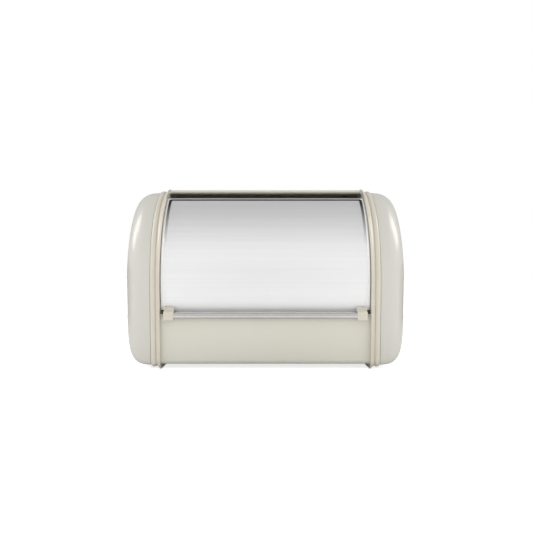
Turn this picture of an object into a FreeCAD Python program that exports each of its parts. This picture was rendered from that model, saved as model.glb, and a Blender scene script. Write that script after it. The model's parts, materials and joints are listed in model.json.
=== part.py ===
"""Bread box with a roll top, as separate solids, one STEP file each.

Millimetres. X runs across the width, the front faces -Y, Z is up.
The origin is on the floor, at the middle of the footprint.
"""
import math
import os

import FreeCAD
import Part
from FreeCAD import Vector

os.makedirs("parts", exist_ok=True)

# Overall size
WIDTH = 400.0
DEPTH = 270.0

# Side outline of the rims: a large arc in front, a smaller one above it, flat top, back and floor
ARC_RADIUS = 147.5
ARC_Y = -DEPTH / 2 + ARC_RADIUS
ARC_Z = 127.0
ARC_START = -4.0
ARC_END = 62.0
CROWN_RADIUS = 80.0
REAR_TOP_RADIUS = 60.0
LOWER_RADIUS = 14.0

# Places across the width, measured from the middle
INNER_HALF = 148.0
SIDE_PLATE = 1.2
LIP_TIP = 1.4
LIP_TIP_ROUND = 0.35
VALLEY_X = 154.4
BEAD_MID = 158.1
BEAD_END = 161.9
DOME_START = 162.2
DOME_STRAIGHT = 8.0
DOME_WALL = 2.4
DOME_EDGE_DROP = 0.5
DOME_CORNER_GROWTH = 0.9

# Distance inwards from the rim outline
TOP_SHEET_INSET = 6.2
BASE_SHEET_INSET = 7.0
SHEET = 0.8
DOME_INSET = 5.6
RIM_ROOT_INSET = 11.0
VALLEY_RISE = 0.8
BEAD_RISE = 2.4
BEAD_END_DROP = 0.6

# Body sheets
PANEL_TOP_Z = 78.7
PANEL_ROLL = 1.6
HEM_RADIUS = 2.8
HEM_Y = -36.0
HEM_END_GAP = 1.6
HEM_LIFT = 0.6
SEAM_START_Y = 84.0
SEAM_END_Y = 112.0
SEAM_RIVET_Y = 98.0
SEAM_RIVETS = 5
SEAM_RIVET_MARGIN = 18.0
SEAM_SHANK = 2.0
SEAM_HEAD = 3.6
SEAM_TAIL = 3.2
SEAM_HEAD_HEIGHT = 1.0

# Lid
LID_RADIUS = 140.0
LID_HALF = 147.4
LID_BOTTOM = -20.0
LID_TOP = 59.8
BORDER_WIDTH = 2.6
BORDER_HEIGHT = 1.4
BORDER_ROUND = 0.45
CORNER_RADIUS = 4.0
NOTCH_WIDTH = 4.4
NOTCH_TOP_Z = 84.6

# Lid pivot, a little ahead of and below the centre of the arc
PIVOT_Y = ARC_Y - 24.0
PIVOT_Z = ARC_Z - 4.0
PIN_RADIUS = 4.0
PIN_HEAD = 7.0
PIN_HEAD_HEIGHT = 2.0
PIN_FIT = 0.05
PIN_LENGTH = 10.0
GROOVE_DEPTH = 0.8
RING_X = 7.0
RING = 1.0
RING_RADIUS = 7.0
RING_MOUTH = 4.8
WASHER_X = 5.6
WASHER = 1.3
WASHER_RADIUS = 8.0
BUSH_RADIUS = 7.0
BUSH_LENGTH = 5.0
BUSH_FLANGE = 10.0
BUSH_TO_ARM = 0.4
OPEN_ANGLE = 82.0

# Lid arms
ARM_OUTER_X = 144.5
ARM = 1.5
ARM_LEG_WIDTH = 18.0
ARM_LOWER_ANGLE = -4.0
ARM_UPPER_ANGLE = 44.0
ARM_BAND = 12.0
ARM_CORNER = 5.0
HUB_RADIUS = 15.0
TAB_DEPTH = 10.0
TAB_TURN = 5.0

# Buffers
BUFFER_RADIUS = 5.5
BUFFER_GAP = 0.4
BUFFER_INWARDS = 4.5
BUFFER_ROUND = 1.0
BUFFER_RIVET = 1.5
BUFFER_RIVET_HEAD = 3.0
BUFFER_RIVET_HEAD_HEIGHT = 1.2
CLOSED_BUFFER_REACH = 95.0
OPEN_BUFFER_REACH = 80.0

# Handle
BAR_RADIUS = 4.3
BAR_WALL = 0.9
BAR_Y = -DEPTH / 2 + 4.4
BAR_Z = 76.6
BAR_PLUG = 4.0
BAR_FIT = 0.02
CLIP_INNER_X = 128.4
CLIP_OUTER_X = 142.5
CLIP_BOTTOM_Z = 70.2
CLIP_FACE_TOP_Z = 81.8
CLIP_TOP_Z = 88.8
CLIP_HOOK_Z = 81.4
CLIP_BLOCK_DEPTH = 8.4
CLIP_REACH = 16.4
CLIP_WEB_FOOT_Y = 5.4
CLIP_WEB_FOOT_RISE = 2.4
CLIP_WEB_TOP_Y = 9.6
CLIP_ROUND = 1.0
CLIP_SIDE_ROUND = 0.6
CLIP_SCREW_Z = 86.2
CLIP_SCREW_START = 9.0
CLIP_SCREW_SHANK = 6.6
CLIP_SCREW_RADIUS = 1.45
CLIP_SCREW_HEAD = 2.9
CLIP_SCREW_HEAD_HEIGHT = 1.6
LID_SCREW_HOLE = 1.6

# Dome screws, as (Y, Z)
DOME_SCREWS = [(-75.0, 70.0), (-58.0, 188.0), (85.0, 70.0), (78.0, 192.0)]
BOSS_RADIUS = 4.5
DOME_SCREW_RADIUS = 1.95
DOME_SCREW_LENGTH = 12.0
DOME_SCREW_HEAD = 3.8
DOME_SCREW_HEAD_HEIGHT = 2.0
DOME_SCREW_HOLE = 2.2
CROSS_WIDTH = 1.0
CROSS_LENGTH = 4.0
CROSS_DEPTH = 1.1

X_AXIS = Vector(1, 0, 0)


def arc_point(radius, angle, x=0.0):
    """Point on a circle round the centre of the front arc; 0 is forwards, 90 is up."""
    turn = math.radians(angle)
    return Vector(x, ARC_Y - radius * math.cos(turn), ARC_Z + radius * math.sin(turn))


def circle_arc(x, centre, radius, start, end):
    """Arc edge in the plane at x; angles from the forward direction, upwards."""
    def place(angle):
        turn = math.radians(angle)
        return Vector(x, centre[0] - radius * math.cos(turn), centre[1] + radius * math.sin(turn))
    return Part.Arc(place(start), place((start + end) / 2), place(end)).toShape()


def outline(x, inset, lower_radius=None):
    """Closed side outline, moved inwards by inset, as a wire in the plane at x."""
    lower = LOWER_RADIUS - inset if lower_radius is None else lower_radius
    rear_top = REAR_TOP_RADIUS - inset
    radius = ARC_RADIUS - inset
    slope = math.radians(-ARC_START)
    line_top = (ARC_Y - radius * math.cos(slope), ARC_Z - radius * math.sin(slope))

    # The straight front runs down from the arc; its lower corner touches it and the floor line.
    corner_z = inset + lower
    drop = line_top[1] - corner_z
    corner_y = (line_top[0] + drop * math.tan(slope)
                + lower * (1 / math.cos(slope)))
    back = DEPTH / 2 - inset
    rear_z = inset + lower
    top_z = HEIGHT - inset
    crown = CROWN_RADIUS - inset

    front_corner = circle_arc(x, (corner_y, corner_z), lower, -90, ARC_START)
    front_arc = circle_arc(x, (ARC_Y, ARC_Z), radius, ARC_START, ARC_END)
    crown_arc = circle_arc(x, crown_centre(), crown, ARC_END, 90)
    rear_top_arc = circle_arc(x, (back - rear_top, top_z - rear_top), rear_top, 90, 180)
    rear_corner = circle_arc(x, (back - lower, rear_z), lower, 180, 270)

    def line(first, second):
        return Part.makeLine(first.lastVertex(True).Point, second.firstVertex(True).Point)

    edges = [
        front_corner,
        line(front_corner, front_arc),
        front_arc,
        crown_arc,
        line(crown_arc, rear_top_arc),
        rear_top_arc,
        line(rear_top_arc, rear_corner),
        rear_corner,
        line(rear_corner, front_corner),
    ]
    return Part.Wire(edges)


def crown_centre():
    """Centre of the upper arc, on the line through the end of the front arc."""
    turn = math.radians(ARC_END)
    shift = ARC_RADIUS - CROWN_RADIUS
    return (ARC_Y - shift * math.cos(turn), ARC_Z + shift * math.sin(turn))


HEIGHT = crown_centre()[1] + CROWN_RADIUS


def prism(inset, x_start, x_end):
    """Solid bounded by the outline at inset, between two places across the width."""
    face = Part.Face(outline(x_start, inset))
    return face.extrude(Vector(x_end - x_start, 0, 0))


def tube(inset, wall, half):
    """Sheet that follows the whole outline."""
    return prism(inset, -half, half).cut(prism(inset + wall, -half - 1, half + 1))


def box(x_range, y_range, z_range):
    """Box from three (low, high) pairs."""
    low = Vector(x_range[0], y_range[0], z_range[0])
    size = [x_range[1] - x_range[0], y_range[1] - y_range[0], z_range[1] - z_range[0]]
    return Part.makeBox(*size, low)


def rod(radius, x_start, x_end, y, z):
    """Cylinder across the width."""
    return Part.makeCylinder(radius, x_end - x_start, Vector(x_start, y, z), X_AXIS)


def sector(inner, outer, start, end, x_start, x_end):
    """Curved block round the centre of the front arc."""
    points = [arc_point(inner, start, x_start), arc_point(outer, start, x_start)]
    near = Part.makeLine(points[0], points[1])
    far = Part.makeLine(arc_point(outer, end, x_start), arc_point(inner, end, x_start))
    outside = circle_arc(x_start, (ARC_Y, ARC_Z), outer, start, end)
    inside = circle_arc(x_start, (ARC_Y, ARC_Z), inner, start, end)
    face = Part.Face(Part.Wire(Part.__sortEdges__([near, outside, far, inside])))
    return face.extrude(Vector(x_end - x_start, 0, 0))


def mirrored(shape):
    """The same piece on the other side."""
    return shape.mirror(Vector(0, 0, 0), X_AXIS)


def save(name, shape):
    """Write one piece, after checking that it is a sound solid."""
    if shape.ShapeType == "Compound" and len(shape.Solids) == 1:
        shape = shape.Solids[0]
    if not shape.isValid() or not shape.Solids:
        raise ValueError(name + " isn't a valid solid")
    shape.exportStep("parts/" + name + ".step")


def save_pair(name, right):
    """Write a right-hand piece and its mirror image."""
    save("right_" + name, right)
    save("left_" + name, mirrored(right))


def make_front_and_base():
    """Lower front panel and base in one bent sheet, its top edge rolled inwards."""
    whole = tube(BASE_SHEET_INSET, SHEET, INNER_HALF)
    roll_z = PANEL_TOP_Z - PANEL_ROLL
    kept = box((-WIDTH, WIDTH), (-DEPTH, SEAM_END_Y), (0, roll_z))
    sheet = whole.common(kept)
    slope = math.radians(-ARC_START)
    line_y = ARC_Y - (ARC_RADIUS - BASE_SHEET_INSET) * math.cos(slope)
    line_z = ARC_Z - (ARC_RADIUS - BASE_SHEET_INSET) * math.sin(slope)
    roll_y = line_y + (line_z - roll_z) * math.tan(slope) + PANEL_ROLL / math.cos(slope)
    roll = rod(PANEL_ROLL, -INNER_HALF, INNER_HALF, roll_y, roll_z)
    hollow = rod(PANEL_ROLL - SHEET, -INNER_HALF - 1, INNER_HALF + 1, roll_y, roll_z)
    return sheet.fuse(roll).cut(hollow).removeSplitter().cut(seam_holes())


def make_back_and_top():
    """Back and top in one bent sheet, its front edge rolled outwards into a hem."""
    whole = tube(TOP_SHEET_INSET, SHEET, INNER_HALF)
    upper = box((-WIDTH, WIDTH), (HEM_Y, DEPTH), (HEIGHT / 2, HEIGHT))
    lower = box((-WIDTH, WIDTH), (SEAM_START_Y, DEPTH), (0, HEIGHT / 2 + 1))
    sheet = whole.common(upper.fuse(lower))
    centre = crown_centre()
    reach = CROWN_RADIUS - TOP_SHEET_INSET - SHEET + HEM_RADIUS + HEM_LIFT
    hem_z = centre[1] + math.sqrt(reach ** 2 - (HEM_Y - centre[0]) ** 2)
    hem_half = INNER_HALF - HEM_END_GAP
    hem = rod(HEM_RADIUS, -hem_half, hem_half, HEM_Y, hem_z)
    hollow = rod(HEM_RADIUS - SHEET, -INNER_HALF, INNER_HALF, HEM_Y, hem_z)
    return sheet.fuse(hem).cut(hollow).removeSplitter().cut(seam_holes())


def seam_places():
    """Places across the width of the seam rivets."""
    half = INNER_HALF - SEAM_RIVET_MARGIN
    step = 2 * half / (SEAM_RIVETS - 1)
    return [-half + step * index for index in range(SEAM_RIVETS)]


def seam_holes():
    """Holes for the seam rivets."""
    low = TOP_SHEET_INSET - SHEET
    holes = [Part.makeCylinder(SEAM_SHANK, 4 * SHEET, Vector(x, SEAM_RIVET_Y, low))
             for x in seam_places()]
    return Part.makeCompound(holes)


def make_seam_rivets():
    """Rivets through the two sheets where they lap."""
    outer_z = TOP_SHEET_INSET
    inner_z = BASE_SHEET_INSET + SHEET
    rivets = []
    for x in seam_places():
        shank = Part.makeCylinder(SEAM_SHANK, inner_z - outer_z, Vector(x, SEAM_RIVET_Y, outer_z))
        head = Part.makeCylinder(SEAM_HEAD, SEAM_HEAD_HEIGHT,
                                 Vector(x, SEAM_RIVET_Y, outer_z - SEAM_HEAD_HEIGHT))
        tail = Part.makeCylinder(SEAM_TAIL, SEAM_HEAD_HEIGHT, Vector(x, SEAM_RIVET_Y, inner_z))
        rivet = shank.fuse([head, tail]).removeSplitter()
        rims = [edge for edge in rivet.Edges
                if abs(edge.BoundBox.ZMin - outer_z + SEAM_HEAD_HEIGHT) < 0.01
                or abs(edge.BoundBox.ZMin - inner_z - SEAM_HEAD_HEIGHT) < 0.01]
        rivets.append(rivet.makeFillet(SEAM_HEAD_HEIGHT / 2, rims))
    return Part.makeCompound(rivets)


def make_side_plate():
    """Inner side wall, which closes the bread space and carries the lid."""
    plate = prism(TOP_SHEET_INSET, INNER_HALF, INNER_HALF + SIDE_PLATE)
    holes = [rod(BUSH_RADIUS, INNER_HALF - 1, INNER_HALF + 3, PIVOT_Y, PIVOT_Z)]
    for y, z in DOME_SCREWS:
        holes.append(rod(DOME_SCREW_HOLE, INNER_HALF - 1, INNER_HALF + 3, y, z))
    for y, z in (closed_buffer_place(), open_buffer_place()):
        holes.append(rod(BUFFER_RIVET, INNER_HALF - 1, INNER_HALF + 3, y, z))
    return plate.cut(Part.makeCompound(holes))


def rim_section(start):
    """Section of the rim in the plane across its path, at the point where the path starts."""
    def place(x, inset):
        return Vector(x, start.y, start.z + inset)

    def straight(first, second):
        return Part.makeLine(place(*first), place(*second))

    def bow(first, middle, last):
        return Part.Arc(place(*first), place(*middle), place(*last)).toShape()

    # The lip's edge is flat between two small rounds, so the box stands on a narrow flat line.
    soft = LIP_TIP_ROUND
    bend = soft * (1 - math.sqrt(0.5))
    corner = (INNER_HALF, soft)
    inner_tip = (INNER_HALF + soft, 0.0)
    outer_tip = (INNER_HALF + LIP_TIP - soft, 0.0)
    tip_end = (INNER_HALF + LIP_TIP, soft)
    valley = (VALLEY_X, DOME_INSET - VALLEY_RISE)
    bead_end = (BEAD_END, DOME_INSET + BEAD_END_DROP)
    root = (BEAD_END, RIM_ROOT_INSET)
    foot = (INNER_HALF + SIDE_PLATE, RIM_ROOT_INSET)
    heel = (INNER_HALF + SIDE_PLATE, TOP_SHEET_INSET)
    inside = (INNER_HALF, TOP_SHEET_INSET)
    edges = [
        straight(inside, corner),
        bow(corner, (INNER_HALF + bend, bend), inner_tip),
        straight(inner_tip, outer_tip),
        bow(outer_tip, (INNER_HALF + LIP_TIP - bend, bend), tip_end),
        straight(tip_end, valley),
        bow(valley, (BEAD_MID, DOME_INSET - BEAD_RISE), bead_end),
        straight(bead_end, root),
        straight(root, foot),
        straight(foot, heel),
        straight(heel, inside),
    ]
    return Part.Wire(edges)


def make_rim():
    """Ring round the end of the body: flared lip, groove and outer bead."""
    edges = outline(0.0, 0.0).OrderedEdges
    floor_line = edges[-1]
    spine = Part.Wire([floor_line] + edges[:-1])
    sweep = Part.BRepOffsetAPI.MakePipeShell(spine)
    sweep.setBiNormalMode(X_AXIS)
    sweep.add(rim_section(floor_line.firstVertex(True).Point), False, False)
    sweep.build()
    sweep.makeSolid()
    return sweep.shape()


def dome_body(wall):
    """Solid with widely rounded edges; wall moves every side inwards."""
    round_radius = WIDTH / 2 - DOME_START - DOME_STRAIGHT - wall
    start = DOME_INSET + DOME_EDGE_DROP
    stations = [(DOME_START, DOME_INSET),
                (DOME_START + DOME_STRAIGHT / 2, DOME_INSET + DOME_EDGE_DROP / 3),
                (DOME_START + DOME_STRAIGHT, start)]
    for turn in (15, 30, 45, 60, 75, 90):
        angle = math.radians(turn)
        x = DOME_START + DOME_STRAIGHT + round_radius * math.sin(angle)
        stations.append((x, start + round_radius * (1 - math.cos(angle))))
    wires = []
    for x, inset in stations:
        lower = LOWER_RADIUS - DOME_INSET + DOME_CORNER_GROWTH * (inset - DOME_INSET)
        wires.append(outline(x, inset + wall, lower - wall))
    return Part.makeLoft(wires, True, False)


def make_dome():
    """Hollow end dome with four screw bosses inside."""
    outer = dome_body(0.0)
    inner = dome_body(DOME_WALL)
    shell = outer.cut(inner)
    reach = WIDTH / 2 - DOME_WALL / 2
    for y, z in DOME_SCREWS:
        shell = shell.fuse(rod(BOSS_RADIUS, INNER_HALF + SIDE_PLATE, reach, y, z))
    bore_end = INNER_HALF + SIDE_PLATE + DOME_SCREW_LENGTH + 2
    bores = [rod(DOME_SCREW_RADIUS, INNER_HALF, bore_end, y, z) for y, z in DOME_SCREWS]
    return shell.cut(Part.makeCompound(bores))


def make_dome_screws():
    """Four screws from inside the box, through the side plate, into the dome."""
    head_x = INNER_HALF - DOME_SCREW_HEAD_HEIGHT
    shank_end = INNER_HALF + SIDE_PLATE + DOME_SCREW_LENGTH
    cross_x = (head_x - 1, head_x + CROSS_DEPTH)
    narrow = CROSS_WIDTH / 2
    wide = CROSS_LENGTH / 2
    screws = []
    for y, z in DOME_SCREWS:
        head = rod(DOME_SCREW_HEAD, head_x, INNER_HALF, y, z)
        edges = [edge for edge in head.Edges if abs(edge.BoundBox.XMax - head_x) < 0.01]
        head = head.makeFillet(0.45 * DOME_SCREW_HEAD_HEIGHT, edges)
        shank = rod(DOME_SCREW_RADIUS, INNER_HALF, shank_end, y, z)
        upright = box(cross_x, (y - narrow, y + narrow), (z - wide, z + wide))
        level = box(cross_x, (y - wide, y + wide), (z - narrow, z + narrow))
        screws.append(head.fuse(shank).cut(upright.fuse(level)))
    return Part.makeCompound(screws)


def make_bush():
    """Plain bearing in the side plate, with a flange on the inside."""
    flange = rod(BUSH_FLANGE, ARM_OUTER_X + BUSH_TO_ARM, INNER_HALF, PIVOT_Y, PIVOT_Z)
    barrel = rod(BUSH_RADIUS, INNER_HALF, INNER_HALF + BUSH_LENGTH, PIVOT_Y, PIVOT_Z)
    bore = rod(PIN_RADIUS + PIN_FIT, ARM_OUTER_X, INNER_HALF + BUSH_LENGTH + 1, PIVOT_Y, PIVOT_Z)
    return flange.fuse(barrel).removeSplitter().cut(bore)


def make_pin():
    """Pivot pin, riveted into the lid arm and grooved for its retaining ring."""
    head_x = ARM_OUTER_X - ARM
    head = rod(PIN_HEAD, head_x - PIN_HEAD_HEIGHT, head_x, PIVOT_Y, PIVOT_Z)
    rim = [edge for edge in head.Edges
           if abs(edge.BoundBox.XMax - head_x + PIN_HEAD_HEIGHT) < 0.01]
    head = head.makeFillet(0.6 * PIN_HEAD_HEIGHT, rim)
    shaft = rod(PIN_RADIUS, head_x, INNER_HALF + PIN_LENGTH, PIVOT_Y, PIVOT_Z)
    start = INNER_HALF + RING_X
    groove = rod(PIN_RADIUS + 1, start, start + RING, PIVOT_Y, PIVOT_Z)
    groove = groove.cut(rod(PIN_RADIUS - GROOVE_DEPTH, start, start + RING, PIVOT_Y, PIVOT_Z))
    return head.fuse(shaft).removeSplitter().cut(groove)


def make_washer():
    """Washer between the bush and the retaining ring."""
    start = INNER_HALF + WASHER_X
    washer = rod(WASHER_RADIUS, start, start + WASHER, PIVOT_Y, PIVOT_Z)
    return washer.cut(rod(PIN_RADIUS + 2 * PIN_FIT, start - 1, start + WASHER + 1,
                          PIVOT_Y, PIVOT_Z))


def make_retaining_ring():
    """Open ring that snaps into the groove of the pin."""
    start = INNER_HALF + RING_X
    end = start + RING
    ring = rod(RING_RADIUS, start, end, PIVOT_Y, PIVOT_Z)
    ring = ring.cut(rod(PIN_RADIUS - GROOVE_DEPTH, start, end, PIVOT_Y, PIVOT_Z))
    half = RING_MOUTH / 2
    slot = box((start, end), (PIVOT_Y - half, PIVOT_Y + half),
               (PIVOT_Z - RING_RADIUS - 1, PIVOT_Z))
    return ring.cut(slot)


def leg_direction(lid_angle):
    """Unit direction (Y, Z) from the pivot to a point inside the lid."""
    target = arc_point(LID_RADIUS - SHEET, lid_angle)
    offset = Vector(0, target.y - PIVOT_Y, target.z - PIVOT_Z)
    return offset.normalize()


def arm_leg(lid_angle):
    """Straight leg from the pivot outwards, longer than it needs to be."""
    direction = leg_direction(lid_angle)
    side = Vector(0, -direction.z, direction.y) * (ARM_LEG_WIDTH / 2)
    root = Vector(ARM_OUTER_X - ARM, PIVOT_Y, PIVOT_Z)
    end = root + direction * (2 * LID_RADIUS)
    corners = [root - side, end - side, end + side, root + side, root - side]
    return Part.Face(Part.makePolygon(corners)).extrude(Vector(ARM, 0, 0))


def make_arm():
    """Flat lid arm: hub, two legs, a band along the lid and two welding tabs."""
    inside = LID_RADIUS - SHEET
    low_x = ARM_OUTER_X - ARM
    legs = arm_leg(ARM_LOWER_ANGLE).fuse(arm_leg(ARM_UPPER_ANGLE))
    legs = legs.common(rod(inside, low_x, ARM_OUTER_X, ARC_Y, ARC_Z))
    hub = rod(HUB_RADIUS, low_x, ARM_OUTER_X, PIVOT_Y, PIVOT_Z)
    band = sector(inside - ARM_BAND, inside, ARM_LOWER_ANGLE, ARM_UPPER_ANGLE, low_x, ARM_OUTER_X)
    arm = legs.fuse([hub, band]).removeSplitter()
    inner_corners = []
    for edge in arm.Edges:
        along_x = abs(edge.BoundBox.XLength - ARM) < 0.01 and edge.BoundBox.YLength < 0.01
        radius = math.hypot(edge.CenterOfMass.y - ARC_Y, edge.CenterOfMass.z - ARC_Z)
        if along_x and abs(radius - inside + ARM_BAND) < 0.5:
            inner_corners.append(edge)
    arm = arm.makeFillet(ARM_CORNER, inner_corners)
    for angle in (ARM_LOWER_ANGLE, ARM_UPPER_ANGLE):
        tab = sector(inside - ARM, inside, angle - TAB_TURN, angle + TAB_TURN,
                     low_x - TAB_DEPTH, ARM_OUTER_X)
        arm = arm.fuse(tab)
    return arm.cut(rod(PIN_RADIUS, low_x - 1, ARM_OUTER_X + 1, PIVOT_Y, PIVOT_Z))


def closed_buffer_place():
    """Place (Y, Z) of the buffer under the lower leg of the closed arm."""
    direction = leg_direction(ARM_LOWER_ANGLE)
    away = ARM_LEG_WIDTH / 2 + BUFFER_RADIUS + BUFFER_GAP
    return (PIVOT_Y + CLOSED_BUFFER_REACH * direction.y - away * -direction.z,
            PIVOT_Z + CLOSED_BUFFER_REACH * direction.z - away * -direction.y)


def open_buffer_place():
    """Place (Y, Z) of the buffer behind the upper leg of the open arm."""
    start = leg_direction(ARM_UPPER_ANGLE)
    turn = math.radians(OPEN_ANGLE)
    along_y = start.y * math.cos(turn) + start.z * math.sin(turn)
    along_z = -start.y * math.sin(turn) + start.z * math.cos(turn)
    away = ARM_LEG_WIDTH / 2 + BUFFER_RADIUS + BUFFER_GAP
    return (PIVOT_Y + OPEN_BUFFER_REACH * along_y + away * along_z,
            PIVOT_Z + OPEN_BUFFER_REACH * along_z - away * along_y)


def make_buffer(place):
    """Rubber buffer on the side plate."""
    tip_x = ARM_OUTER_X - BUFFER_INWARDS
    body = rod(BUFFER_RADIUS, tip_x, INNER_HALF, *place)
    tip = [edge for edge in body.Edges if abs(edge.BoundBox.XMax - tip_x) < 0.01]
    return body.makeFillet(BUFFER_ROUND, tip).cut(rod(BUFFER_RIVET, 0, WIDTH, *place))


def make_buffer_rivet(place):
    """Rivet that holds one buffer to the side plate."""
    start = ARM_OUTER_X - BUFFER_INWARDS - BUFFER_RIVET_HEAD_HEIGHT
    end = INNER_HALF + SIDE_PLATE
    head = rod(BUFFER_RIVET_HEAD, start, start + BUFFER_RIVET_HEAD_HEIGHT, *place)
    tail = rod(BUFFER_RIVET_HEAD, end, end + BUFFER_RIVET_HEAD_HEIGHT, *place)
    shank = rod(BUFFER_RIVET, start, end + BUFFER_RIVET_HEAD_HEIGHT, *place)
    return head.fuse([shank, tail]).removeSplitter()


def make_lid():
    """Curved lid sheet with a raised border, rounded top corners and notched lower corners."""
    inner = LID_RADIUS - SHEET
    outer = LID_RADIUS + BORDER_HEIGHT
    border_turn = math.degrees(BORDER_WIDTH / LID_RADIUS)
    blank = sector(inner, outer, LID_BOTTOM, LID_TOP, -LID_HALF, LID_HALF)
    corners = [edge for edge in blank.Edges
               if edge.BoundBox.XLength < 0.01 and edge.Length < SHEET + BORDER_HEIGHT + 0.1
               and edge.BoundBox.ZMin > ARC_Z]
    blank = blank.makeFillet(CORNER_RADIUS, corners)
    inset_half = LID_HALF - BORDER_WIDTH
    recess = sector(LID_RADIUS, outer + 2, LID_BOTTOM - 5, LID_TOP - border_turn,
                    -inset_half, inset_half)
    lid = blank.cut(recess)
    rims = [edge for edge in lid.Edges if on_border_edge(edge, outer)]
    lid = lid.makeFillet(BORDER_ROUND, rims)
    cuts = []
    for side in (-1, 1):
        x = side * (CLIP_INNER_X + CLIP_OUTER_X) / 2
        hole_start = Vector(x, CLIP_SCREW_START - DEPTH / 2, CLIP_SCREW_Z)
        cuts.append(Part.makeCylinder(LID_SCREW_HOLE, CLIP_REACH, hole_start, Vector(0, 1, 0)))
        edge_x = sorted((side * (LID_HALF - NOTCH_WIDTH), side * (LID_HALF + 1)))
        cuts.append(box(edge_x, (-DEPTH, 0), (0, NOTCH_TOP_Z)))
    return lid.cut(Part.makeCompound(cuts))


def on_border_edge(edge, outer):
    """True for the edges on top of the raised border, apart from its two lower ends."""
    lowest = arc_point(outer, LID_BOTTOM).z
    if edge.BoundBox.ZMax < lowest + 0.5:
        return False
    for point in edge.discretize(5):
        if abs(math.hypot(point.y - ARC_Y, point.z - ARC_Z) - outer) > 0.02:
            return False
    return True


def make_bar():
    """Handle bar, a round tube with both ends plugged into the clips."""
    half = CLIP_INNER_X + BAR_PLUG
    bar = rod(BAR_RADIUS, -half, half, BAR_Y, BAR_Z)
    return bar.cut(rod(BAR_RADIUS - BAR_WALL, -half - 1, half + 1, BAR_Y, BAR_Z))


def make_clip(lid):
    """Handle clip: a block in front and a sloping web, screwed to the outside of the lid."""
    front = -DEPTH / 2
    block_back = front + CLIP_BLOCK_DEPTH
    hook_back = front + CLIP_REACH
    web_start = (front + CLIP_WEB_FOOT_Y, CLIP_FACE_TOP_Z + CLIP_WEB_FOOT_RISE)
    web_end = (front + CLIP_WEB_TOP_Y, CLIP_TOP_Z)
    points = [
        (front, CLIP_BOTTOM_Z), (front, CLIP_FACE_TOP_Z), web_start, web_end,
        (hook_back, CLIP_TOP_Z), (hook_back, CLIP_HOOK_Z), (block_back, CLIP_HOOK_Z),
        (block_back, CLIP_BOTTOM_Z),
    ]
    corners = [Vector(CLIP_INNER_X, y, z) for y, z in points]
    face = Part.Face(Part.makePolygon(corners + corners[:1]))
    clip = face.extrude(Vector(CLIP_OUTER_X - CLIP_INNER_X, 0, 0))
    soft = []
    for edge in clip.Edges:
        along_x = edge.BoundBox.YLength < 0.01 and edge.BoundBox.ZLength < 0.01
        at_front = edge.BoundBox.YMax < web_end[0] + 0.1
        if along_x and at_front and abs(edge.BoundBox.ZMax - CLIP_HOOK_Z) > 0.1:
            soft.append(edge)
    clip = clip.makeFillet(CLIP_ROUND, soft)
    outer_edges = [edge for edge in clip.Edges
                   if edge.BoundBox.XLength < 0.01 and edge.BoundBox.YMax < web_end[0] + 0.1]
    clip = clip.makeFillet(CLIP_SIDE_ROUND, outer_edges)
    clip = clip.cut(rod(LID_RADIUS - SHEET / 2, 0, WIDTH, ARC_Y, ARC_Z))
    middle = (CLIP_INNER_X + CLIP_OUTER_X) / 2
    hole_start = Vector(middle, front + CLIP_SCREW_START, CLIP_SCREW_Z)
    screw_hole = Part.makeCylinder(CLIP_SCREW_RADIUS, CLIP_REACH, hole_start, Vector(0, 1, 0))
    socket = rod(BAR_RADIUS + BAR_FIT, CLIP_INNER_X - 1, CLIP_INNER_X + BAR_PLUG, BAR_Y, BAR_Z)
    return clip.cut(Part.makeCompound([screw_hole, socket])).cut(lid)


def make_clip_screws():
    """Two screws from inside the box, through the lid, into the clips."""
    start_y = CLIP_SCREW_START - DEPTH / 2
    head_y = start_y + CLIP_SCREW_SHANK
    end_y = head_y + CLIP_SCREW_HEAD_HEIGHT
    backwards = Vector(0, 1, 0)
    screws = []
    for side in (-1, 1):
        x = side * (CLIP_INNER_X + CLIP_OUTER_X) / 2
        shank = Part.makeCylinder(CLIP_SCREW_RADIUS, CLIP_SCREW_SHANK,
                                  Vector(x, start_y, CLIP_SCREW_Z), backwards)
        head = Part.makeCylinder(CLIP_SCREW_HEAD, CLIP_SCREW_HEAD_HEIGHT,
                                 Vector(x, head_y, CLIP_SCREW_Z), backwards)
        edges = [edge for edge in head.Edges if abs(edge.BoundBox.YMin - end_y) < 0.01]
        screws.append(head.makeFillet(0.45 * CLIP_SCREW_HEAD_HEIGHT, edges).fuse(shank))
    return Part.makeCompound(screws)


save("front_and_base_sheet", make_front_and_base())
save("back_and_top_sheet", make_back_and_top())
save("seam_rivets", make_seam_rivets())
save_pair("side_plate", make_side_plate())
save_pair("rim", make_rim())
save_pair("end_dome", make_dome())
save_pair("dome_screws", make_dome_screws())
save_pair("pivot_bush", make_bush())
save_pair("closed_buffer", make_buffer(closed_buffer_place()))
save_pair("open_buffer", make_buffer(open_buffer_place()))
right_rivets = Part.makeCompound([make_buffer_rivet(closed_buffer_place()),
                                  make_buffer_rivet(open_buffer_place())])
save_pair("buffer_rivets", right_rivets)

lid_sheet = make_lid()
save("lid_sheet", lid_sheet)
save_pair("lid_arm", make_arm())
save_pair("pivot_pin", make_pin())
save_pair("pivot_washer", make_washer())
save_pair("retaining_ring", make_retaining_ring())
save("handle_bar", make_bar())
save_pair("handle_clip", make_clip(lid_sheet))
save("clip_screws", make_clip_screws())
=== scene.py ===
"""Looks of the bread box: fine meshes over the CAD frame, materials, light and camera. Metres."""

import json
import math

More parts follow.
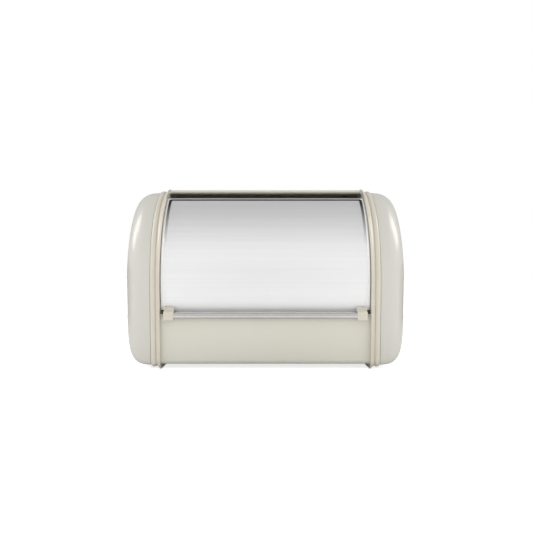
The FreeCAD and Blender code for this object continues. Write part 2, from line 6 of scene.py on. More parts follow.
import bmesh
import bpy
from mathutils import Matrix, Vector


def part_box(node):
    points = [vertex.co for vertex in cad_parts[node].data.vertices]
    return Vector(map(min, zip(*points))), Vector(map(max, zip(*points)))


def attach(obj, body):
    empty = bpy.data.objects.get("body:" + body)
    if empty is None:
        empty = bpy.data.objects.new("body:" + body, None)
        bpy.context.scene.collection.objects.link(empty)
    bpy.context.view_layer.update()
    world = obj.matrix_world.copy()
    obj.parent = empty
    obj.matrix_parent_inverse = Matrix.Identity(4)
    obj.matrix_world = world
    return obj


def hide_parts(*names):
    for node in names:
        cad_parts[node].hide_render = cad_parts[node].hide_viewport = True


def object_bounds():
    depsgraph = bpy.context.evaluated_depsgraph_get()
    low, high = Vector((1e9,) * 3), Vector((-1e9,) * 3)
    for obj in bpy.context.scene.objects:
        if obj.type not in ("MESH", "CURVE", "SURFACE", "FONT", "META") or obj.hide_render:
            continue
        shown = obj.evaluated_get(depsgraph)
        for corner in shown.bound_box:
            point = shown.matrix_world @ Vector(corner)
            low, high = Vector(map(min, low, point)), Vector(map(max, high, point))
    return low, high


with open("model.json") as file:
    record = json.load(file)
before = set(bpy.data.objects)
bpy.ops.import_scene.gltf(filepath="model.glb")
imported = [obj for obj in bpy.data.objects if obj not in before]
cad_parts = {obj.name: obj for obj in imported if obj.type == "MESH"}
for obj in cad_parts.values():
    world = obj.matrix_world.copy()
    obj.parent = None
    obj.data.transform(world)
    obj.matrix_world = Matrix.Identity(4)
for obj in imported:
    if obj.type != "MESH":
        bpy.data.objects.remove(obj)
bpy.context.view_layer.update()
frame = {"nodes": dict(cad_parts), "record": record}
nodes = frame["nodes"]

# ---------------------------------------------------------------- driving sizes

rim_low, rim_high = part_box("right_rim")
dome_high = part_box("right_end_dome")[1]
plate_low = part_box("right_side_plate")[0]
base_low, base_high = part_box("front_and_base_sheet")
bar_low, bar_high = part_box("handle_bar")
lid_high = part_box("lid_sheet")[1]
clip_low, clip_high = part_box("right_handle_clip")

DEPTH = rim_high.y - rim_low.y
HEIGHT = rim_high.z
INNER_HALF = rim_low.x
DOME_END = dome_high.x
MM = 0.001

ARC_RADIUS = 147.5 * MM
ARC_Y = -DEPTH / 2 + ARC_RADIUS
ARC_Z = 127.0 * MM
ARC_START = -4.0
ARC_END = 62.0
CROWN_RADIUS = 80.0 * MM
REAR_TOP_RADIUS = 60.0 * MM
LOWER_RADIUS = 14.0 * MM

TOP_INSET = plate_low.z
BASE_INSET = base_low.z
SHEET = 0.8 * MM
DOME_INSET = 5.6 * MM
ROOT_INSET = 11.0 * MM
DOME_START = 162.2 * MM
DOME_STRAIGHT = 8.0 * MM
DOME_EDGE_DROP = 0.5 * MM
DOME_CORNER_GROWTH = 0.9
DOME_CROWN = 0.25 * MM

LID_RADIUS = 140.0 * MM
LID_HALF = lid_high.x
LID_BOTTOM = -20.0
LID_TOP = 59.8
BORDER_WIDTH = 2.6 * MM
BORDER_HEIGHT = 1.4 * MM
GROOVE_DEPTH = 0.26 * MM
GROOVE_WIDTH = 4.4 * MM
CORNER_RADIUS = 4.0 * MM
CORNER_RADIUS_MIN = 1.4 * MM
CREASE_START = 20.0
CREASE_FULL = 54.0
NOTCH_EASE = 0.8 * MM
NOTCH_WIDTH = 4.4 * MM
NOTCH_TOP_Z = 84.6 * MM

PANEL_TOP = base_high.z
PANEL_ROLL = 1.6 * MM
HEM_RADIUS = 2.8 * MM
HEM_Y = -36.0 * MM
HEM_END_GAP = 1.6 * MM
HEM_LIFT = 0.6 * MM
HEM_START = -110.0
HEM_END = 235.0
SEAM_START_Y = 84.0 * MM
SEAM_END_Y = 112.0 * MM

RIM_TIP_ROUND = 0.35 * MM
RIM_LIP = 1.4 * MM
RIM_LIP_ROOT = 2.4 * MM
RIM_BACK = 1.2 * MM
BEAD_MIDDLE = 10.1 * MM
BEAD_HALF = 3.7 * MM
BEAD_FOOT = 5.2 * MM
BEAD_RISE = 2.0 * MM
BEAD_END = 13.85 * MM

BAR_EDGE = 0.4 * MM
BAR_SIDES = 64
CLIP_BLOCK_DEPTH = 8.4 * MM
CLIP_FACE_HEIGHT = 11.6 * MM
CLIP_HOOK_HEIGHT = 11.2 * MM
CLIP_EDGE = 0.9 * MM


# ---------------------------------------------------------------- outline

def crown_centre():
    """Centre (Y, Z) of the upper arc."""
    turn = math.radians(ARC_END)
    shift = ARC_RADIUS - CROWN_RADIUS
    return ARC_Y - shift * math.cos(turn), ARC_Z + shift * math.sin(turn)


def arc(centre, radius, start, end, steps):
    """Points (Y, Z) on an arc; 0 degrees is forwards and 90 is up."""
    points = []
    for index in range(steps + 1):
        turn = math.radians(start + (end - start) * index / steps)
        points.append((centre[0] - radius * math.cos(turn), centre[1] + radius * math.sin(turn)))
    return points


def behind_front(inset, z, radius):
    """Y of the centre of a circle at height z that touches the straight lower front."""
    slope = math.radians(-ARC_START)
    line_y = ARC_Y - (ARC_RADIUS - inset) * math.cos(slope)
    line_z = ARC_Z - (ARC_RADIUS - inset) * math.sin(slope)
    return line_y + (line_z - z) * math.tan(slope) + radius / math.cos(slope)


def outline_stretches(inset, lower=None):
    """Side outline moved inwards by inset, as five arcs joined by straight lines."""
    lower = LOWER_RADIUS - inset if lower is None else lower
    rear_top = REAR_TOP_RADIUS - inset
    corner_z = inset + lower
    corner_y = behind_front(inset, corner_z, lower)
    back = DEPTH / 2 - inset
    top = HEIGHT - inset
    return [
        arc((corner_y, corner_z), lower, -90, ARC_START, 12),
        arc((ARC_Y, ARC_Z), ARC_RADIUS - inset, ARC_START, ARC_END, 48),
        arc(crown_centre(), CROWN_RADIUS - inset, ARC_END, 90, 16)[1:],
        arc((back - rear_top, top - rear_top), rear_top, 90, 180, 24),
        arc((back - lower, corner_z), lower, 180, 270, 12),
    ]


def outline(inset, lower=None):
    """The whole side outline as one closed list of (Y, Z)."""
    return [point for stretch in outline_stretches(inset, lower) for point in stretch]


def ring(x, inset, lower=None):
    """The outline as a loop of 3-D points."""
    return [(x, y, z) for y, z in outline(inset, lower)]


# ---------------------------------------------------------------- mesh helpers

def skin(rings, wrap=False):
    """Vertices and quads between loops of the same length."""
    count = len(rings[0])
    verts = [point for loop in rings for point in loop]
    faces = []
    last = len(rings) if wrap else len(rings) - 1
    for row in range(last):
        here = row * count
        there = ((row + 1) % len(rings)) * count
        for index in range(count):
            following = (index + 1) % count
            faces.append((here + index, here + following, there + following, there + index))
    return verts, faces


def mirror(verts, faces):
    """The same mesh on the other side."""
    return [(-x, y, z) for x, y, z in verts], [tuple(reversed(face)) for face in faces]


def make_piece(name, mesh_data, node, body, slot, sharp=32.0):
    """Turn vertices and faces into a finished piece that stands for a CAD node."""
    mesh = bpy.data.meshes.new(name)
    mesh.from_pydata(mesh_data[0], [], mesh_data[1])
    mesh.validate()
    mesh.update()
    piece = bpy.data.objects.new(name, mesh)
    bpy.context.scene.collection.objects.link(piece)
    fix_normals(mesh)
    mesh.shade_smooth()
    mesh.set_sharp_from_angle(angle=math.radians(sharp))
    mesh.materials.append(MATERIALS[slot])
    weighted = piece.modifiers.new("weighted_normals", "WEIGHTED_NORMAL")
    weighted.keep_sharp = True
    weighted.weight = 60
    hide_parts(node)
    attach(piece, body)
    return piece


def fix_normals(mesh):
    """Point every face outwards."""
    work = bmesh.new()
    work.from_mesh(mesh)
    bmesh.ops.remove_doubles(work, verts=work.verts, dist=0.00001)
    bmesh.ops.recalc_face_normals(work, faces=work.faces)
    work.to_mesh(mesh)
    work.free()


def extrude_section(section, x_start, x_end):
    """Closed (Y, Z) section carried across the width, with both ends closed."""
    near = [(x_start, y, z) for y, z in section]
    far = [(x_end, y, z) for y, z in section]
    verts, faces = skin([near, far])
    count = len(section)
    faces.append(tuple(range(count)))
    faces.append(tuple(range(2 * count - 1, count - 1, -1)))
    return verts, faces


def strip_section(inner, outer):
    """Closed section of a sheet from its two faces, each an open list of (Y, Z)."""
    return outer + list(reversed(inner))


# ---------------------------------------------------------------- materials

def srgb(*values):
    """Linear colour from 0-255 screen values."""
    linear = []
    for value in values:
        part = value / 255
        linear.append(part / 12.92 if part <= 0.04045 else ((part + 0.055) / 1.055) ** 2.4)
    return (*linear, 1.0)


class Graph:
    """Small helper for building a node material."""

    def __init__(self, name):
        self.material = bpy.data.materials.new(name)
        self.material.use_nodes = True
        self.tree = self.material.node_tree
        self.shader = self.tree.nodes["Principled BSDF"]
        self.place = self.tree.nodes.new("ShaderNodeTexCoord").outputs["Object"]

    def add(self, kind, **inputs):
        """New node with its inputs filled in; an underscore stands for a space."""
        node = self.tree.nodes.new(kind)
        for key, value in inputs.items():
            self.put(node, key.replace("_", " "), value)
        return node

    def put(self, node, key, value):
        """Link a socket to an input, or set a plain value on it."""
        socket = node.inputs[key]
        if isinstance(value, bpy.types.NodeSocket):
            self.tree.links.new(value, socket)
        else:
            socket.default_value = value

    def stretched(self, scale):
        """Object coordinates scaled differently along each axis."""
        mapping = self.add("ShaderNodeMapping", Vector=self.place)
        mapping.inputs["Scale"].default_value = scale
        return mapping.outputs["Vector"]

    def noise(self, scale, detail=3.0, roughness=0.5, vector=None):
        """Value of a noise texture."""
        return self.add("ShaderNodeTexNoise", Vector=vector or self.place, Scale=scale,
                        Detail=detail, Roughness=roughness).outputs["Fac"]

    def span(self, value, low, high, start=0.3, end=0.7):
        """Bring a value from start..end to low..high."""
        node = self.add("ShaderNodeMapRange", Value=value)
        node.inputs["From Min"].default_value = start
        node.inputs["From Max"].default_value = end
        node.inputs["To Min"].default_value = low
        node.inputs["To Max"].default_value = high
        return node.outputs["Result"]

    def blend(self, factor, first, second):
        """Mix of two colours."""
        node = self.tree.nodes.new("ShaderNodeMix")
        node.data_type = "RGBA"
        self.put(node, 0, factor)
        self.put(node, 6, first)
        self.put(node, 7, second)
        return node.outputs[2]

    def bump(self, height, strength, distance):
        """Surface direction bent by a height."""
        return self.add("ShaderNodeBump", Height=height, Strength=strength,
                        Distance=distance).outputs["Normal"]

    def shade(self, **inputs):
        """Fill in the surface shader and hand back the material."""
        for key, value in inputs.items():
            self.put(self.shader, key.replace("_", " "), value)
        return self.material


def gloss_cream(name, light, deep, rough, peel):
    """Cream paint, enamel or moulded plastic: faint drift of tone and shine, and orange peel."""
    graph = Graph(name)
    drift = graph.span(graph.noise(9.0, 4.0), 0.0, 1.0)
    tone = graph.blend(drift, light, deep)
    wave = graph.noise(160.0, 1.0)
    return graph.shade(
        Base_Color=tone,
        Roughness=graph.span(graph.noise(24.0, 3.0), rough * 0.92, rough * 1.1),
        Normal=graph.bump(wave, peel, 0.0001),
        Coat_Weight=0.35,
        Coat_Roughness=0.12,
        IOR=1.48,
    )


def brushed_steel(name, light, deep, rough):
    """Stainless steel brushed across the width, with painted shade blended in along the lid's
    border crease and top border.
    """
    graph = Graph(name)
    long_grain = graph.stretched((2.2, 420.0, 420.0))
    fine_grain = graph.stretched((9.0, 2600.0, 2600.0))
    lines = graph.noise(1.0, 6.0, 0.62, long_grain)
    fine = graph.noise(1.0, 3.0, 0.6, fine_grain)
    mixed = graph.tree.nodes.new("ShaderNodeMath")
    mixed.operation = "MULTIPLY_ADD"
    graph.put(mixed, 0, fine)
    graph.put(mixed, 1, 0.5)
    graph.put(mixed, 2, lines)
    both = mixed.outputs[0]
    across = graph.tree.nodes.new("ShaderNodeTangent")
    across.direction_type = "UV_MAP"
    across.uv_map = "brush"
    # Painted shade: a near-black tone is blended in where the crease attribute is set, standing
    # for the shadow under the rolled hem
    painted_crease_shade = graph.tree.nodes.new("ShaderNodeAttribute")
    painted_crease_shade.attribute_name = "painted_crease_shade"
    tone = graph.blend(graph.span(both, 0.0, 1.0, 0.55, 0.95), deep, light)
    return graph.shade(
        Base_Color=graph.blend(painted_crease_shade.outputs["Fac"], tone, (0.05, 0.05, 0.055, 1)),
        Metallic=1.0,
        Roughness=graph.span(both, rough * 0.93, rough * 1.08, 0.5, 1.0),
        Anisotropic=0.4,
        Tangent=across.outputs[0],
        Normal=graph.bump(both, 0.035, 0.00008),
    )


def bright_metal(name, light, deep, rough):
    """Plated or plain metal with faint handling marks."""
    graph = Graph(name)
    marks = graph.noise(46.0, 6.0, 0.6)
    tone = graph.blend(graph.span(marks, 0.0, 1.0), light, deep)
    return graph.shade(
        Base_Color=tone,
        Metallic=1.0,
        Roughness=graph.span(marks, rough * 0.7, rough * 1.5),
        Normal=graph.bump(graph.noise(300.0, 2.0), 0.03, 0.0001),
    )


def dull_plastic(name, light, deep, rough, grain):
    """Rubber or plain moulded plastic with a fine grain."""
    graph = Graph(name)
    tone = graph.blend(graph.span(graph.noise(60.0, 5.0), 0.0, 1.0), light, deep)
    return graph.shade(
        Base_Color=tone,
        Roughness=graph.span(graph.noise(220.0, 3.0), rough * 0.9, rough * 1.1),
        Normal=graph.bump(graph.noise(1500.0, 2.0), grain, 0.0001),
    )


MATERIALS = {
    "cream_paint": gloss_cream("cream_paint", srgb(214, 212, 200),
                               srgb(212, 209, 196), 0.34, 0.06),
    "cream_enamel": gloss_cream("cream_enamel", srgb(204, 202, 194),
                                srgb(202, 200, 191), 0.30, 0.05),
    "cream_plastic": gloss_cream("cream_plastic", srgb(210, 204, 190),
                                 srgb(208, 202, 187), 0.32, 0.04),
    "cream_clip_plastic": gloss_cream("cream_clip_plastic", srgb(211, 206, 192),
                                      srgb(209, 203, 188), 0.28, 0.04),
    "brushed_stainless": brushed_steel("brushed_stainless", (0.87, 0.87, 0.87, 1),
                                       (0.83, 0.83, 0.832, 1), 0.5),
    "chrome": bright_metal("chrome", (0.62, 0.615, 0.61, 1), (0.58, 0.575, 0.57, 1), 0.07),
    "zinc_steel": bright_metal("zinc_steel", (0.62, 0.62, 0.61, 1), (0.50, 0.50, 0.49, 1), 0.32),
    "white_plastic": dull_plastic("white_plastic", srgb(232, 231, 226), srgb(222, 221, 215),
                                  0.45, 0.12),
    "black_rubber": dull_plastic("black_rubber", srgb(34, 34, 34), srgb(26, 26, 27), 0.75, 0.35),
}

for entry in frame["record"]["subparts"]:
    data = nodes[entry["node"]].data
    data.materials.clear()
    data.materials.append(MATERIALS[entry["material_slot"]])
    data.shade_smooth()
    data.set_sharp_from_angle(angle=math.radians(30))


# ---------------------------------------------------------------- rims

def rim_section():
    """Closed section of the rim as (X, inset): flared lip with a soft tip, groove and bead."""
    half = INNER_HALF
    soft = RIM_TIP_ROUND
    points = [(half, TOP_INSET), (half, RIM_LIP_ROOT)]
    for index in range(6):
        turn = math.radians(90 * index / 5)
        points.append((half + soft - soft * math.cos(turn), soft - soft * math.sin(turn)))
    for index in range(6):
        turn = math.radians(90 - 90 * index / 5)
        points.append((half + RIM_LIP - soft + soft * math.cos(turn),
                       soft - soft * math.sin(turn)))
    # Outer face of the lip, down into the groove
    points += [(half + 2.4 * MM, 1.65 * MM), (half + 4.4 * MM, 3.3 * MM)]
    points += [(half + 5.9 * MM, 4.5 * MM), (half + 6.35 * MM, 4.78 * MM)]
    # The bead, as a flattened arc that turns in a little at both ends
    for index in range(15):
        turn = math.radians(-8 + 196 * index / 14)
        points.append((half + BEAD_MIDDLE - BEAD_HALF * math.cos(turn),
                       BEAD_FOOT - BEAD_RISE * math.sin(turn)))
    points += [(half + BEAD_END, ROOT_INSET), (half + RIM_BACK, ROOT_INSET)]
    return points + [(half + RIM_BACK, TOP_INSET)]


def rim_mesh():
    """Rim swept round the outline."""
    return skin([ring(x, inset) for x, inset in rim_section()], wrap=True)


rim = rim_mesh()
make_piece("rim_right", rim, "right_rim", "box", "cream_plastic")
make_piece("rim_left", mirror(*rim), "left_rim", "box", "cream_plastic")


# ---------------------------------------------------------------- domes

def dome_mesh():
    """Outer skin of an end dome, its turned-in edge, and a slightly crowned end face."""
    round_radius = DOME_END - DOME_START - DOME_STRAIGHT - DOME_CROWN
    # The edge next to the rim: turned in, then a small round, then the nearly straight part
    loops = [(DOME_START + 1.2 * MM, DOME_INSET + 2.4 * MM), (DOME_START, DOME_INSET + 1.6 * MM),
             (DOME_START, DOME_INSET + 0.35 * MM), (DOME_START + 0.1 * MM, DOME_INSET + 0.1 * MM),
             (DOME_START + 0.35 * MM, DOME_INSET), (DOME_START + 3.5 * MM, DOME_INSET + 0.1 * MM),
             (DOME_START + DOME_STRAIGHT * 0.8, DOME_INSET + 0.3 * MM)]
    for index in range(21):
        turn = math.radians(4 + 86 * index / 20)
        loops.append((DOME_START + DOME_STRAIGHT + round_radius * math.sin(turn),
                      DOME_INSET + DOME_EDGE_DROP + round_radius * (1 - math.cos(turn))))
    rings = []
    for x, inset in loops:
        lower = LOWER_RADIUS - DOME_INSET + DOME_CORNER_GROWTH * (inset - DOME_INSET)
        rings.append(ring(x, inset, lower))
    edge = rings[-1]
    middle = Vector((0, 0, 0))
    for point in edge:
        middle += Vector(point) / len(edge)
    for shrink in (0.93, 0.8, 0.6, 0.35, 0.12):
        bulge = DOME_CROWN * (1 - shrink ** 2)
        rings.append([(edge[0][0] + bulge, middle.y + (y - middle.y) * shrink,
                       middle.z + (z - middle.z) * shrink) for x, y, z in edge])
    verts, faces = skin(rings)
    first = len(verts) - len(edge)
    faces.append(tuple(range(first, len(verts))))
    return verts, faces


dome = dome_mesh()
make_piece("end_dome_right", dome, "right_end_dome", "box", "cream_enamel", 60)
make_piece("end_dome_left", mirror(*dome), "left_end_dome", "box", "cream_enamel", 60)


# ---------------------------------------------------------------- body sheets

def front_sheet_section():
    """Front panel and base: base end, lower corner, front, and the roll at the top."""
    faces = []
    for inset in (BASE_INSET, BASE_INSET + SHEET):
        lower_corner = outline_stretches(inset)[0]
        faces.append([(SEAM_END_Y, inset)] + lower_corner)
    roll_z = PANEL_TOP - PANEL_ROLL
    roll_y = behind_front(BASE_INSET, roll_z, PANEL_ROLL)
    outer_roll = arc((roll_y, roll_z), PANEL_ROLL, 0, 290, 26)
    inner_roll = arc((roll_y, roll_z), PANEL_ROLL - SHEET, 0, 290, 20)
    return strip_section(faces[1] + inner_roll, faces[0] + outer_roll)


def rear_sheet_section():
    """Top and back without the hem: crown, flat top, back, and the lap under the base."""
    faces = []
    for inset in (TOP_INSET, TOP_INSET + SHEET):
        crown, rear_top, rear_corner = outline_stretches(inset)[2:]
        kept = [point for point in crown if point[0] > HEM_Y]
        faces.append(kept + rear_top + rear_corner + [(SEAM_START_Y, inset)])
    return strip_section(faces[1], faces[0])


def hem_section():
    """Rolled front edge: a tube that closes on the front edge of the sheet."""
    centre = crown_centre()
    reach = CROWN_RADIUS - TOP_INSET - SHEET + HEM_RADIUS + HEM_LIFT
    hem_z = centre[1] + math.sqrt(reach ** 2 - (HEM_Y - centre[0]) ** 2)
    outer = arc((HEM_Y, hem_z), HEM_RADIUS, HEM_START, HEM_END, 60)
    inner = arc((HEM_Y, hem_z), HEM_RADIUS - SHEET, HEM_START, HEM_END, 44)
    return strip_section(inner, outer)


def joined(first, second):
    """Two meshes as one."""
    shift = len(first[0])
    moved = [tuple(index + shift for index in face) for face in second[1]]
    return first[0] + second[0], first[1] + moved


make_piece("front_panel_and_base",
           extrude_section(front_sheet_section(), -INNER_HALF, INNER_HALF),
           "front_and_base_sheet", "box", "cream_paint", 40)
hem_half = INNER_HALF - HEM_END_GAP
make_piece("back_and_top_cover",
           joined(extrude_section(rear_sheet_section(), -INNER_HALF, INNER_HALF),
                  extrude_section(hem_section(), -hem_half, hem_half)),
           "back_and_top_sheet", "box", "cream_paint", 40)


# ---------------------------------------------------------------- lid

def lid_place(x, along, height):
    """Point on the lid; along is the arc length from its lower edge."""
    turn = math.radians(LID_BOTTOM) + along / LID_RADIUS
    radius = LID_RADIUS + height
    return (x, ARC_Y - radius * math.cos(turn), ARC_Z + radius * math.sin(turn))


def quarter(centre, radius, start):
    """Seven points of a quarter turn; start 0 runs from low to right, 90 from right to high."""
    points = []
    for index in range(7):
        turn = math.radians(start + 15 * index)
        points.append((centre[0] + radius * math.sin(turn), centre[1] - radius * math.cos(turn)))
    return points


def lid_loop(inset, low_inset, height, corner):
    """Edge loop of the lid: notched lower corners, rounded top corners; the left is a mirror."""
    length = math.radians(LID_TOP - LID_BOTTOM) * LID_RADIUS
    notch_turn = math.asin((NOTCH_TOP_Z - ARC_Z) / LID_RADIUS) - math.radians(LID_BOTTOM)
    half = LID_HALF - inset
    high = length - inset
    tongue = LID_HALF - NOTCH_WIDTH - low_inset
    notch = notch_turn * LID_RADIUS + low_inset
    ease = NOTCH_EASE
    rise = 0.06 * MM
    inside = quarter((tongue + ease, notch - ease), ease, 180)
    side = quarter((tongue - ease, low_inset + ease), ease, 0)
    side += list(reversed(inside))
    side += quarter((half - ease, notch + rise + ease), ease, 0)
    start = notch + rise + ease
    rows = 60
    for index in range(1, rows):
        side.append((half, start + (high - corner - start) * index / rows))
    side += quarter((half - corner, high - corner), corner, 90)
    right = [lid_place(x, along, height) for x, along in side]
    left = [lid_place(-x, along, height) for x, along in reversed(side)]
    return right + left


def lid_mesh():
    """Curved sheet with a raised, rounded border and a shallow groove inside the border."""
    width = BORDER_WIDTH
    height = BORDER_HEIGHT
    # Sheet edge and the border's outer side
    profile = [(0.3 * MM, -SHEET), (0.0, -SHEET + 0.3 * MM), (0.0, height * 0.5),
               (0.1 * MM, height * 0.72), (0.34 * MM, height * 0.9), (0.75 * MM, height)]
    # Top of the border and its inner side
    profile += [(width - 0.75 * MM, height), (width - 0.34 * MM, height * 0.9),
                (width - 0.1 * MM, height * 0.7), (width, height * 0.45),
                (width + 0.04 * MM, 0.05 * MM)]
    # Shallow groove that fades into the sheet
    profile += [(width + 0.2 * MM, -0.16 * MM), (width + 1.0 * MM, -GROOVE_DEPTH),
                (width + 2.6 * MM, -0.22 * MM), (width + 3.6 * MM, -0.1 * MM),
                (width + GROOVE_WIDTH, 0.0)]
    loops = []
    for inset, lift in profile:
        corner = max(CORNER_RADIUS - inset * 0.35, CORNER_RADIUS_MIN)
        loops.append(lid_loop(inset, inset * 0.5, lift, corner))
    verts, faces = skin(loops)
    count = len(loops[0])
    half = count // 2
    # Back and front of the sheet, in strips between each point and its mirror image
    for start in (0, len(verts) - count):
        for index in range(half - 1):
            faces.append((start + index, start + index + 1,
                          start + count - 2 - index, start + count - 1 - index))
    return verts, faces


def add_brush_direction(piece):
    """Map whose first direction runs round the lid, across the brush marks."""
    layer = piece.data.uv_layers.new(name="brush")
    for corner in piece.data.loops:
        place = piece.data.vertices[corner.vertex_index].co
        turn = math.atan2(place.z - ARC_Z, ARC_Y - place.y)
        layer.data[corner.index].uv = (turn, place.x)


def add_crease_shade(piece):
    """Painted shade in the crease beside the border, deeper towards the top, and on the top
    border: the shadow and dark reflection under the rolled hem.
    """
    shade = piece.data.attributes.new("painted_crease_shade", "FLOAT", "POINT")
    top = math.radians(LID_TOP) - BORDER_WIDTH / LID_RADIUS
    for index, vertex in enumerate(piece.data.vertices):
        place = vertex.co
        turn = math.atan2(place.z - ARC_Z, ARC_Y - place.y)
        lift = math.hypot(place.z - ARC_Z, place.y - ARC_Y) - LID_RADIUS
        # Painted shade: a dark value that fades in towards the top in the crease, and a
        # half-strength one on the top border
        in_crease = 0.02 * MM < abs(lift) < 0.3 * MM
        if in_crease:
            fade = (math.degrees(turn) - CREASE_START) / (CREASE_FULL - CREASE_START)
            shade.data[index].value = min(1.0, max(0.0, fade))
        elif turn > top and lift > 0:
            shade.data[index].value = 0.5


lid_panel = make_piece("lid_panel", lid_mesh(), "lid_sheet", "lid", "brushed_stainless", 50)
add_brush_direction(lid_panel)
add_crease_shade(lid_panel)


# ---------------------------------------------------------------- handle

def bar_mesh():
    """Round bar with eased ends."""
    radius = (bar_high.z - bar_low.z) / 2
    middle = (bar_low + bar_high) / 2
    end = bar_high.x
    stations = [(-end, radius * 0.6), (-end, radius * 0.92), (-end + BAR_EDGE, radius),
                (-end / 2, radius), (0.0, radius), (end / 2, radius),
                (end - BAR_EDGE, radius), (end, radius * 0.92), (end, radius * 0.6)]
    last_turn = 360 * (BAR_SIDES - 1) / BAR_SIDES
    rings = []
    for x, size in stations:
        rings.append([(x, middle.y + y, middle.z + z)
                      for y, z in arc((0.0, 0.0), size, 0, last_turn, BAR_SIDES - 1)])
    verts, faces = skin(rings)
    faces.append(tuple(range(BAR_SIDES)))
    faces.append(tuple(range(len(verts) - BAR_SIDES, len(verts))))
    return verts, faces


make_piece("pull_bar", bar_mesh(), "handle_bar", "lid", "chrome", 40)


def clip_section():
    """Side view of a clip: a block in front, and a web that slopes up and back onto the lid."""
    front = clip_low.y
    bottom = clip_low.z
    top = clip_high.z
    block_back = front + CLIP_BLOCK_DEPTH
    face_top = bottom + CLIP_FACE_HEIGHT
    hook = bottom + CLIP_HOOK_HEIGHT
    points = [(front, bottom), (front, face_top), (front + 5.4 * MM, face_top + 2.4 * MM),
              (front + 9.6 * MM, top)]
    # The web's back follows the lid, a hair inside its front surface
    seat = LID_RADIUS - 0.05 * MM
    for index in range(7):
        z = top + (hook - top) * index / 6
        points.append((ARC_Y - math.sqrt(seat ** 2 - (z - ARC_Z) ** 2), z))
    return points + [(block_back, hook), (block_back, bottom)]


def make_handle_clip(name, mesh_data, node):
    """One handle clip with softly rounded edges."""
    clip = make_piece(name, mesh_data, node, "lid", "cream_clip_plastic", 75)
    bevel = clip.modifiers.new("soft_edges", "BEVEL")
    bevel.width = CLIP_EDGE
    bevel.segments = 4
    bevel.limit_method = "ANGLE"
    bevel.angle_limit = math.radians(25)
    clip.modifiers.move(len(clip.modifiers) - 1, 0)


clip_mesh = extrude_section(clip_section(), clip_low.x, clip_high.x)
make_handle_clip("handle_clip_right", clip_mesh, "right_handle_clip")
make_handle_clip("handle_clip_left", mirror(*clip_mesh), "left_handle_clip")


# ---------------------------------------------------------------- stage, light and camera

FLOOR_HALF = 6.0
SHADED_HALF_WIDTH = 0.23
SHADED_HALF_DEPTH = 0.16

FRONT_CARD_Y = -1.5
FRONT_CARD_HALF = 0.35
FRONT_CARD_LOW = 0.04
FRONT_CARD_HIGH = 0.42
LOW_CARD_HALF = 0.6
LOW_CARD_NEAR = -0.1
LOW_CARD_FAR = 0.75
LOW_CARD_HEIGHT = 0.18

SOFTBOX_X = 1.5
SOFTBOX_Y = 0.1
SOFTBOX_Z = 1.15
SOFTBOX_SIZE = (0.7, 0.9)
SOFTBOX_POWER = 9

# Brightness of the surroundings by height, 0 level and 1 overhead, and how it changes to the back
WORLD_STOPS = [(0.0, 1.18), (0.4, 1.18), (0.7, 0.97), (0.98, 0.62)]
WORLD_FRONT = 1.11
WORLD_BACK = 0.42

CAMERA_X = 1.5 * MM
CAMERA_DISTANCE = 863 * MM
CAMERA_HEIGHT = 145.5 * MM
CAMERA_LENS = 41.9
CAMERA_SENSOR = 36


def stage_plane(name, corners, material):
    """Flat stage surface."""
    mesh = bpy.data.meshes.new(name)
    mesh.from_pydata(corners, [], [tuple(range(len(corners)))])
    plane = bpy.data.objects.new(name, mesh)
    bpy.context.scene.collection.objects.link(plane)
    mesh.materials.append(material)
    return plane


def stage_material():
    """Pale seamless paper, lit up evenly where the camera looks at it."""
    graph = Graph("pale_paper")
    tone = graph.blend(graph.span(graph.noise(3.0, 4.0), 0.0, 1.0),
                       (0.80, 0.80, 0.80, 1), (0.78, 0.78, 0.78, 1))
    # Off camera the glow starts a little outside the box, so its foot stays in shade
    spread = graph.add("ShaderNodeVectorMath")
    spread.operation = "LENGTH"
    graph.put(spread, 0, graph.stretched((1 / SHADED_HALF_WIDTH, 1 / SHADED_HALF_DEPTH, 1.0)))
    far_glow = graph.span(spread.outputs["Value"], 0.02, 0.44, 1.0, 1.8)
    rays = graph.tree.nodes.new("ShaderNodeLightPath")
    glow = graph.tree.nodes.new("ShaderNodeMix")
    graph.put(glow, 0, rays.outputs["Is Camera Ray"])
    graph.put(glow, 2, far_glow)
    graph.put(glow, 3, 0.75)
    return graph.shade(Base_Color=tone, Roughness=0.9, Emission_Color=(1, 1, 1, 1),
                       Emission_Strength=glow.outputs[0])


def dark_card_material():
    """Matt black card."""
    graph = Graph("black_card")
    tone = graph.blend(graph.noise(20.0), (0.012, 0.012, 0.012, 1), (0.02, 0.02, 0.02, 1))
    return graph.shade(Base_Color=tone, Roughness=0.9, Specular_IOR_Level=0.1)


def black_card(name, start, end, low, high, material):
    """Upright black card over the floor line from start to end, out of the camera's sight."""
    corners = [(*start, low), (*end, low), (*end, high), (*start, high)]
    stage_plane(name, corners, material).visible_camera = False


def area_light(name, place, target, size, power):
    """Soft rectangular light that faces a point."""
    data = bpy.data.lights.new(name, "AREA")
    data.shape = "RECTANGLE"
    data.size, data.size_y = size
    data.energy = power
    lamp = bpy.data.objects.new(name, data)
    lamp.location = place
    lamp.rotation_mode = "QUATERNION"
    lamp.rotation_quaternion = (Vector(target) - Vector(place)).to_track_quat("-Z", "Y")
    bpy.context.scene.collection.objects.link(lamp)


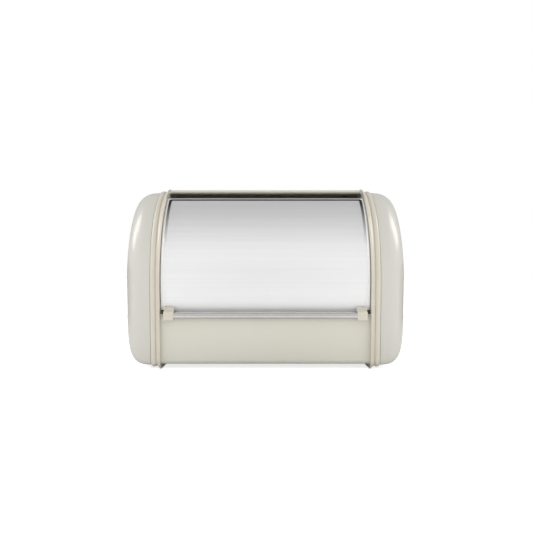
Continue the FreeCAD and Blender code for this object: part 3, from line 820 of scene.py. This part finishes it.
def studio_world():
    """Bright in front and low down, darker overhead and behind; plain white to the camera."""
    world = bpy.data.worlds.new("studio")
    bpy.context.scene.world = world
    world.use_nodes = True
    tree = world.node_tree
    background = tree.nodes["Background"]
    background.inputs["Color"].default_value = (1, 1, 1, 1)
    direction = tree.nodes.new("ShaderNodeTexCoord")
    split = tree.nodes.new("ShaderNodeSeparateXYZ")
    tree.links.new(direction.outputs["Generated"], split.inputs[0])

    # Brightness by height. The curve only reaches 1, so it holds half of each value
    by_height = tree.nodes.new("ShaderNodeFloatCurve")
    curve = by_height.mapping.curves[0]
    while len(curve.points) < len(WORLD_STOPS):
        curve.points.new(0.5, 0.5)
    for point, (height, brightness) in zip(curve.points, WORLD_STOPS):
        point.location = (height, brightness / 2)
        point.handle_type = "VECTOR"
    by_height.mapping.update()
    tree.links.new(split.outputs["Z"], by_height.inputs["Value"])

    # Brightness from front to back, doubled to make up for the halved curve
    by_depth = tree.nodes.new("ShaderNodeMapRange")
    by_depth.inputs["From Min"].default_value = -0.9
    by_depth.inputs["From Max"].default_value = 0.8
    by_depth.inputs["To Min"].default_value = 2 * WORLD_FRONT
    by_depth.inputs["To Max"].default_value = 2 * WORLD_BACK
    tree.links.new(split.outputs["Y"], by_depth.inputs["Value"])

    level = tree.nodes.new("ShaderNodeMath")
    level.operation = "MULTIPLY"
    tree.links.new(by_height.outputs[0], level.inputs[0])
    tree.links.new(by_depth.outputs["Result"], level.inputs[1])

    rays = tree.nodes.new("ShaderNodeLightPath")
    seen = tree.nodes.new("ShaderNodeMix")
    seen.inputs[3].default_value = 1.0
    tree.links.new(rays.outputs["Is Camera Ray"], seen.inputs[0])
    tree.links.new(level.outputs[0], seen.inputs[2])
    tree.links.new(seen.outputs[0], background.inputs["Strength"])


def place_camera():
    """Level camera in front of the box."""
    data = bpy.data.cameras.new("camera")
    data.sensor_width = CAMERA_SENSOR
    data.lens = CAMERA_LENS
    camera = bpy.data.objects.new("camera", data)
    camera.location = (CAMERA_X, -DEPTH / 2 - CAMERA_DISTANCE, CAMERA_HEIGHT)
    camera.rotation_euler = (math.radians(90), 0, 0)
    bpy.context.scene.collection.objects.link(camera)
    bpy.context.scene.camera = camera


floor_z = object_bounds()[0].z
stage_plane("floor", [(-FLOOR_HALF, -FLOOR_HALF, floor_z), (FLOOR_HALF, -FLOOR_HALF, floor_z),
                      (FLOOR_HALF, FLOOR_HALF, floor_z), (-FLOOR_HALF, FLOOR_HALF, floor_z)],
            stage_material())

# A card behind the camera shades the chrome; low ones beside and behind the box edge the domes
card = dark_card_material()
near_left = (-LOW_CARD_HALF, LOW_CARD_NEAR)
near_right = (LOW_CARD_HALF, LOW_CARD_NEAR)
far_left = (-LOW_CARD_HALF, LOW_CARD_FAR)
far_right = (LOW_CARD_HALF, LOW_CARD_FAR)
black_card("front_card", (-FRONT_CARD_HALF, FRONT_CARD_Y), (FRONT_CARD_HALF, FRONT_CARD_Y),
           FRONT_CARD_LOW, FRONT_CARD_HIGH, card)
black_card("rear_card", far_left, far_right, 0.0, LOW_CARD_HEIGHT, card)
black_card("left_card", near_left, far_left, 0.0, LOW_CARD_HEIGHT, card)
black_card("right_card", near_right, far_right, 0.0, LOW_CARD_HEIGHT, card)

middle = (0.0, 0.0, HEIGHT / 2)
for side, x in (("left", -SOFTBOX_X), ("right", SOFTBOX_X)):
    area_light(side + "_softbox", (x, SOFTBOX_Y, SOFTBOX_Z), middle, SOFTBOX_SIZE, SOFTBOX_POWER)

studio_world()
place_camera()
bpy.context.scene.view_settings.view_transform = "Standard"
